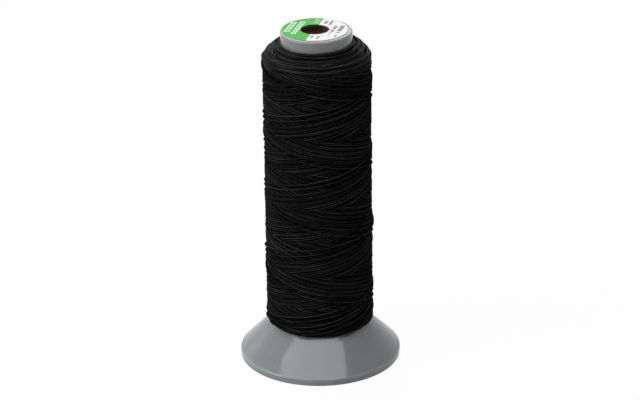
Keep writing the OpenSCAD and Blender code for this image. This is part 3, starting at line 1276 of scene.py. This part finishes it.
    def build(self, finish: bpy.types.Material, pieces: int = 5) -> list[bpy.types.Object]:
        """Makes the strand's visible length in pieces.

        Args:
            finish: The material.
            pieces: How many pieces share the length.

        Returns:
            The pieces, from the deepest to the outermost.
        """
        number, u, cycle, lift = self.way.route(np.random.default_rng(self.seed))
        height, u = self.lay(number, u)
        shown = np.flatnonzero(cycle >= self.way.cycles - self.kept_cycles)
        number, u, cycle, lift = number[shown], u[shown], cycle[shown], lift[shown]
        rise = self.even_out(number, u, height[shown]) + lift
        last = (cycle >= self.way.cycles - self.last_cycles).astype(float)
        rise += self.last_rise * smooth(last, self.last_ease)
        rings, length = self.tubes(number, u, rise)
        LOG.info("thread: %.1f m shown, rise from %.2f to %.2f mm", length[-1] * MM, rise.min(), rise.max())
        made = []
        cuts = np.linspace(0, len(number) - 1, pieces + 1).astype(int)
        for k, (a, b) in enumerate(zip(cuts[:-1], cuts[1:])):
            part = slice(a, b + 1)
            along = length[part] - length[a]
            made.append(self.strand_piece(f"thread_run_{k + 1}", rings[part], along, finish))
        return made


@dataclass
class Spool:
    """The whole object: moulded parts, board tube, label and thread."""

    shop: Workshop
    cap_plastic: MouldedPlastic = MouldedPlastic()
    foot_plastic: MouldedPlastic = MouldedPlastic(
        colour=(0.192, 0.210, 0.217), edge=(34.9 * MM, 2.85 * MM), camber=0.0065
    )

    def dress_moulded(self) -> None:
        """Finishes the foot and the end cap."""
        self.paint("foot", self.foot_plastic.material(self.shop, "foot_plastic"))
        self.paint("top_cap", self.cap_plastic.material(self.shop, "cap_plastic"))

    def dress_tube(self) -> None:
        """Finishes the board tube."""
        self.paint("winding_tube", WoundBoard().material(self.shop, "tube_board"))

    def dress_label(self) -> None:
        """Finishes the round paper label."""
        low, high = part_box("end_label")
        middle = ((low.x + high.x) / 2 / MM, (low.y + high.y) / 2 / MM)
        radius = (high.x - low.x) / 2 / MM
        self.paint("end_label", PrintedPaper().material(self.shop, "label_print", middle, radius))

    def wind_thread(self) -> None:
        """Lays the thread and makes it stand for its two nodes."""
        finish = BondedThread().material(self.shop, "black_thread")
        outline = PackageOutline()
        core = ThreadCore(outline).build(finish)
        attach(core, "root")
        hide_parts("thread_package")
        LOG.info("%s: %d faces", core.name, len(core.data.polygons))
        for piece in Winding(Traverse(outline)).build(finish):
            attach(piece, "root")
            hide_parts("outer_winding")
            LOG.info("%s: %d faces", piece.name, len(piece.data.polygons))

    def paint(self, node: str, finish: bpy.types.Material) -> None:
        """Gives a CAD node its finish.

        Args:
            node: The node's name.
            finish: The material.
        """
        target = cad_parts[node]
        target.data.materials.clear()
        target.data.materials.append(finish)
        for polygon in target.data.polygons:
            polygon.material_index = 0
        LOG.info("%s: %s", node, finish.name)


@dataclass(frozen=True)
class Softbox:
    """A rectangular lamp, in metres, that faces a point.

    Its brightness is that of its face, where 1 is white.
    """

    name: str
    at: tuple[float, float, float]
    aim: tuple[float, float, float]
    size: Pair
    brightness: float

    def hang(self) -> None:
        """Makes the lamp."""
        data = bpy.data.lights.new(self.name, "AREA")
        data.shape = "RECTANGLE"
        data.size, data.size_y = self.size
        data.energy = self.brightness * math.pi * self.size[0] * self.size[1]
        lamp = bpy.data.objects.new(self.name, data)
        lamp.location = self.at
        lamp.rotation_euler = (Vector(self.aim) - Vector(self.at)).to_track_quat("-Z", "Y").to_euler()
        bpy.context.scene.collection.objects.link(lamp)


@dataclass
class Studio:
    """Floor, white surroundings, lamps and camera, in metres."""

    shop: Workshop
    ambient: float = 0.12
    floor_half: float = 6.0
    floor_z: float = -0.05 * MM
    floor_patch: float = 0.4
    floor_tone: Pair = (0.93, 0.95)
    floor_glow: float = 0.95
    camera_at: tuple[float, float, float] = (0.0, -1.08656, 0.54426)
    pitch_deg: float = 23.487
    yaw_deg: float = 0.033
    roll_deg: float = -0.755
    lens: float = 154.655
    lamps: tuple[Softbox, ...] = (
        Softbox("overhead", (-0.2, -0.38, 1.2), (-0.2, -0.375, 0.0), (1.65, 0.66), 2.6),
        Softbox("left", (-1.0, -0.30, 0.42), (0.0, 0.0, 0.08), (0.6, 0.5), 6.0),
        Softbox("left_rear", (-0.95, 0.45, 0.28), (0.0, 0.0, 0.08), (0.8, 0.4), 0.4),
        Softbox("rear_top", (-0.4, 0.75, 1.1), (0.0, 0.0, 0.08), (1.0, 0.8), 2.5),
        Softbox("rear_low", (0.0, 1.5, 0.85), (0.0, 0.0, 0.15), (2.4, 0.5), 1.4),
    )

    def white_to_view(self, graph: Graph) -> Socket:
        """A mask that is 1 for what the camera sees directly, mirrored or through glass.

        Args:
            graph: The material's or the world's graph.

        Returns:
            The mask's socket.
        """
        path = graph.add("ShaderNodeLightPath")
        seen = graph.math("MAXIMUM", path.outputs["Is Camera Ray"], path.outputs["Is Glossy Ray"])
        return graph.math("MAXIMUM", seen, path.outputs["Is Transmission Ray"])

    def surround(self) -> None:
        """Sets the world: white to the view, a dim even light to the object."""
        world = bpy.data.worlds.new("surroundings")
        bpy.context.scene.world = world
        world.use_nodes = True
        world.node_tree.nodes.clear()
        graph = Graph(world.node_tree)
        low = (self.ambient, self.ambient, self.ambient, 1)
        colour = graph.blend(self.white_to_view(graph), low, (1, 1, 1, 1))
        light = graph.add("ShaderNodeBackground", color=colour, strength=1.0)
        graph.add("ShaderNodeOutputWorld", _0=light.outputs[0])

    def lay_floor(self) -> None:
        """Makes the plain pale floor, which keeps the object's soft shadow."""
        made, graph = self.shop.start("floor_white")
        low, high = self.floor_tone
        tone = graph.group(self.shop.mottle, place=graph.place(), patch=self.floor_patch, low=low, high=high)
        matt = graph.add("ShaderNodeBsdfPrincipled", base_color=tone, roughness=0.9, specular_ior_level=0.0)
        glow = graph.add("ShaderNodeEmission", color=(1, 1, 1, 1), strength=1.0)
        mask = graph.math("MULTIPLY", self.white_to_view(graph), self.floor_glow)
        mixed = graph.add("ShaderNodeMixShader", _0=mask, _1=matt.outputs[0], _2=glow.outputs[0])
        self.shop.close(graph, mixed)
        half, z = self.floor_half / MM, self.floor_z / MM
        corners = np.array([[-half, -half, z], [half, -half, z], [half, half, z], [-half, half, z]])
        mesh_object("floor", corners, np.array([[0, 1, 2, 3]]), made)

    def set_camera(self) -> None:
        """Places the camera at the viewing angle."""
        data = bpy.data.cameras.new("view")
        data.lens = self.lens
        data.sensor_width = 36.0
        data.clip_end = 20.0
        camera = bpy.data.objects.new("view", data)
        pitch, yaw, roll = (math.radians(v) for v in (self.pitch_deg, self.yaw_deg, self.roll_deg))
        ahead = Vector((math.sin(yaw) * math.cos(pitch), math.cos(yaw) * math.cos(pitch), -math.sin(pitch)))
        right = Vector((math.cos(yaw), -math.sin(yaw), 0.0))
        up = right.cross(ahead)
        x_axis = right * math.cos(roll) + up * math.sin(roll)
        y_axis = -right * math.sin(roll) + up * math.cos(roll)
        turned = Matrix((x_axis, y_axis, -ahead)).transposed().to_4x4()
        camera.matrix_world = Matrix.Translation(Vector(self.camera_at)) @ turned
        bpy.context.scene.collection.objects.link(camera)
        bpy.context.scene.camera = camera

    def build(self) -> None:
        """Sets up everything around the object."""
        bpy.context.scene.view_settings.view_transform = "Standard"
        self.set_camera()
        self.surround()
        self.lay_floor()
        for lamp in self.lamps:
            lamp.hang()


def main() -> None:
    """Builds the studio and the object."""
    logging.basicConfig(level=logging.INFO, format="%(name)s %(message)s")
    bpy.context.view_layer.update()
    shop = Workshop()
    Studio(shop).build()
    spool = Spool(shop)
    spool.dress_moulded()
    spool.dress_tube()
    spool.dress_label()
    spool.wind_thread()


if __name__ == "__main__":
    main()
